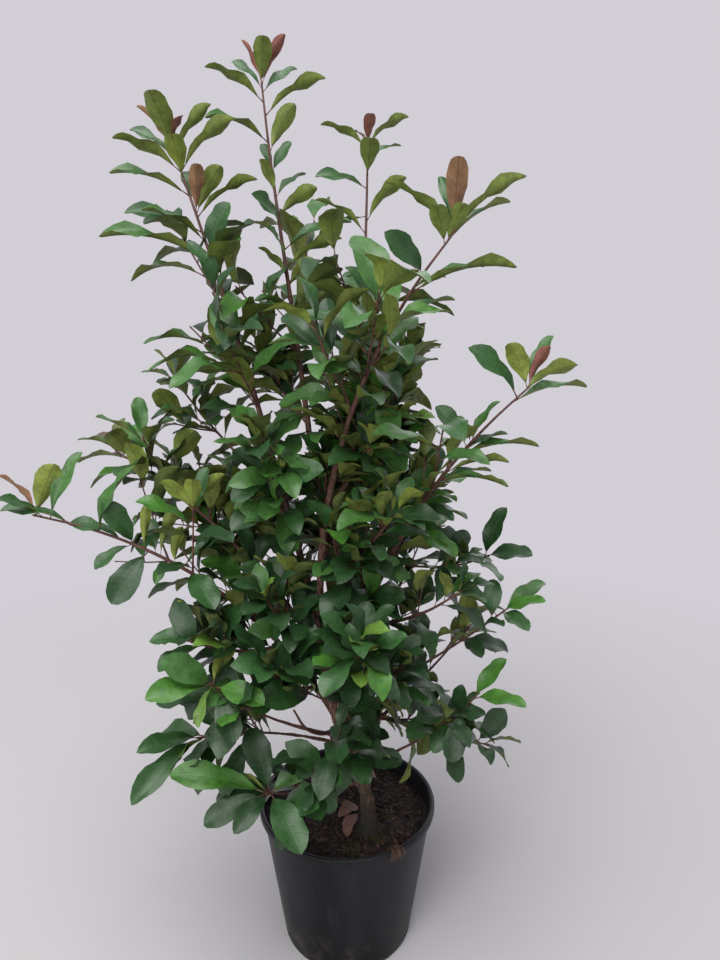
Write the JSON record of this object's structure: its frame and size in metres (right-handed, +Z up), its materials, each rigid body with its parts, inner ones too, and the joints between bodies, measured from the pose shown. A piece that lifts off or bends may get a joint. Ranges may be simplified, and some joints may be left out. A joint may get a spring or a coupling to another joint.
{
  "type": "potted photinia shrub",
  "caption": "Tall evergreen photinia shrub with several stems, leafy sprays and red young tips, standing in a round black plastic nursery pot of soil.",
  "frame": {"origin": "centre of the pot's flat underside", "axes": "+Z up along the pot's axis, +X to the right and -Y towards the viewer of the shrub's broad front"},
  "size_m": [0.8645, 0.5708, 1.5785],
  "materials": {
    "pot": "satin black moulded plastic",
    "soil": "rough peat and bark compost",
    "bark": "grey-brown to reddish bark, finely cracked",
    "foliage": "glossy leather-like leaves, deep green above, olive below, red when young",
    "young_leaf": "glossy bronze-red young leaves",
    "litter": "dry fallen leaves, straw and moss"
  },
  "bodies": {
    "root": {"pot": "pot", "soil": "soil", "trunk": "bark", "left_stem": "bark", "middle_stem": "bark", "right_stem": "bark", "top_stem": "bark", "far_left_stem": "bark", "mid_left_stem": "bark", "far_right_stem": "bark", "upper_left_bough": "bark", "right_mid_bough": "bark", "right_low_bough": "bark", "right_foot_bough": "bark", "left_low_bough": "bark", "left_foot_bough": "bark", "front_foot_bough": "bark", "back_left_bough": "bark", "back_right_bough": "bark", "left_leader_foliage": "foliage", "top_leader_foliage": "foliage", "middle_leader_foliage": "foliage", "right_leader_foliage": "foliage", "far_right_spray_foliage": "foliage", "far_left_spray_foliage": "foliage", "mid_left_spray_foliage": "foliage", "upper_left_spray_foliage": "foliage", "right_mid_spray_foliage": "foliage", "right_low_spray_foliage": "foliage", "right_foot_spray_foliage": "foliage", "left_low_spray_foliage": "foliage", "left_foot_spray_foliage": "foliage", "front_foot_spray_foliage": "foliage", "back_left_spray_foliage": "foliage", "back_right_spray_foliage": "foliage", "back_low_foliage": "foliage", "back_foot_foliage": "foliage", "front_heart_foliage": "foliage", "left_heart_foliage": "foliage", "right_heart_foliage": "foliage", "front_high_foliage": "foliage", "front_low_foliage": "foliage", "front_mid_foliage": "foliage", "front_crown_foliage": "foliage", "left_front_foliage": "foliage", "left_back_foliage": "foliage", "left_high_foliage": "foliage", "top_back_foliage": "foliage", "top_right_foliage": "foliage", "top_left_foliage": "foliage", "crown_right_foliage": "foliage", "crown_back_foliage": "foliage", "crown_high_foliage": "foliage", "right_back_foliage": "foliage", "right_inner_foliage": "foliage", "far_right_low_foliage": "foliage", "far_right_back_foliage": "foliage", "far_left_low_foliage": "foliage", "far_left_back_foliage": "foliage", "mid_left_back_foliage": "foliage"}
  },
  "joints": []
}
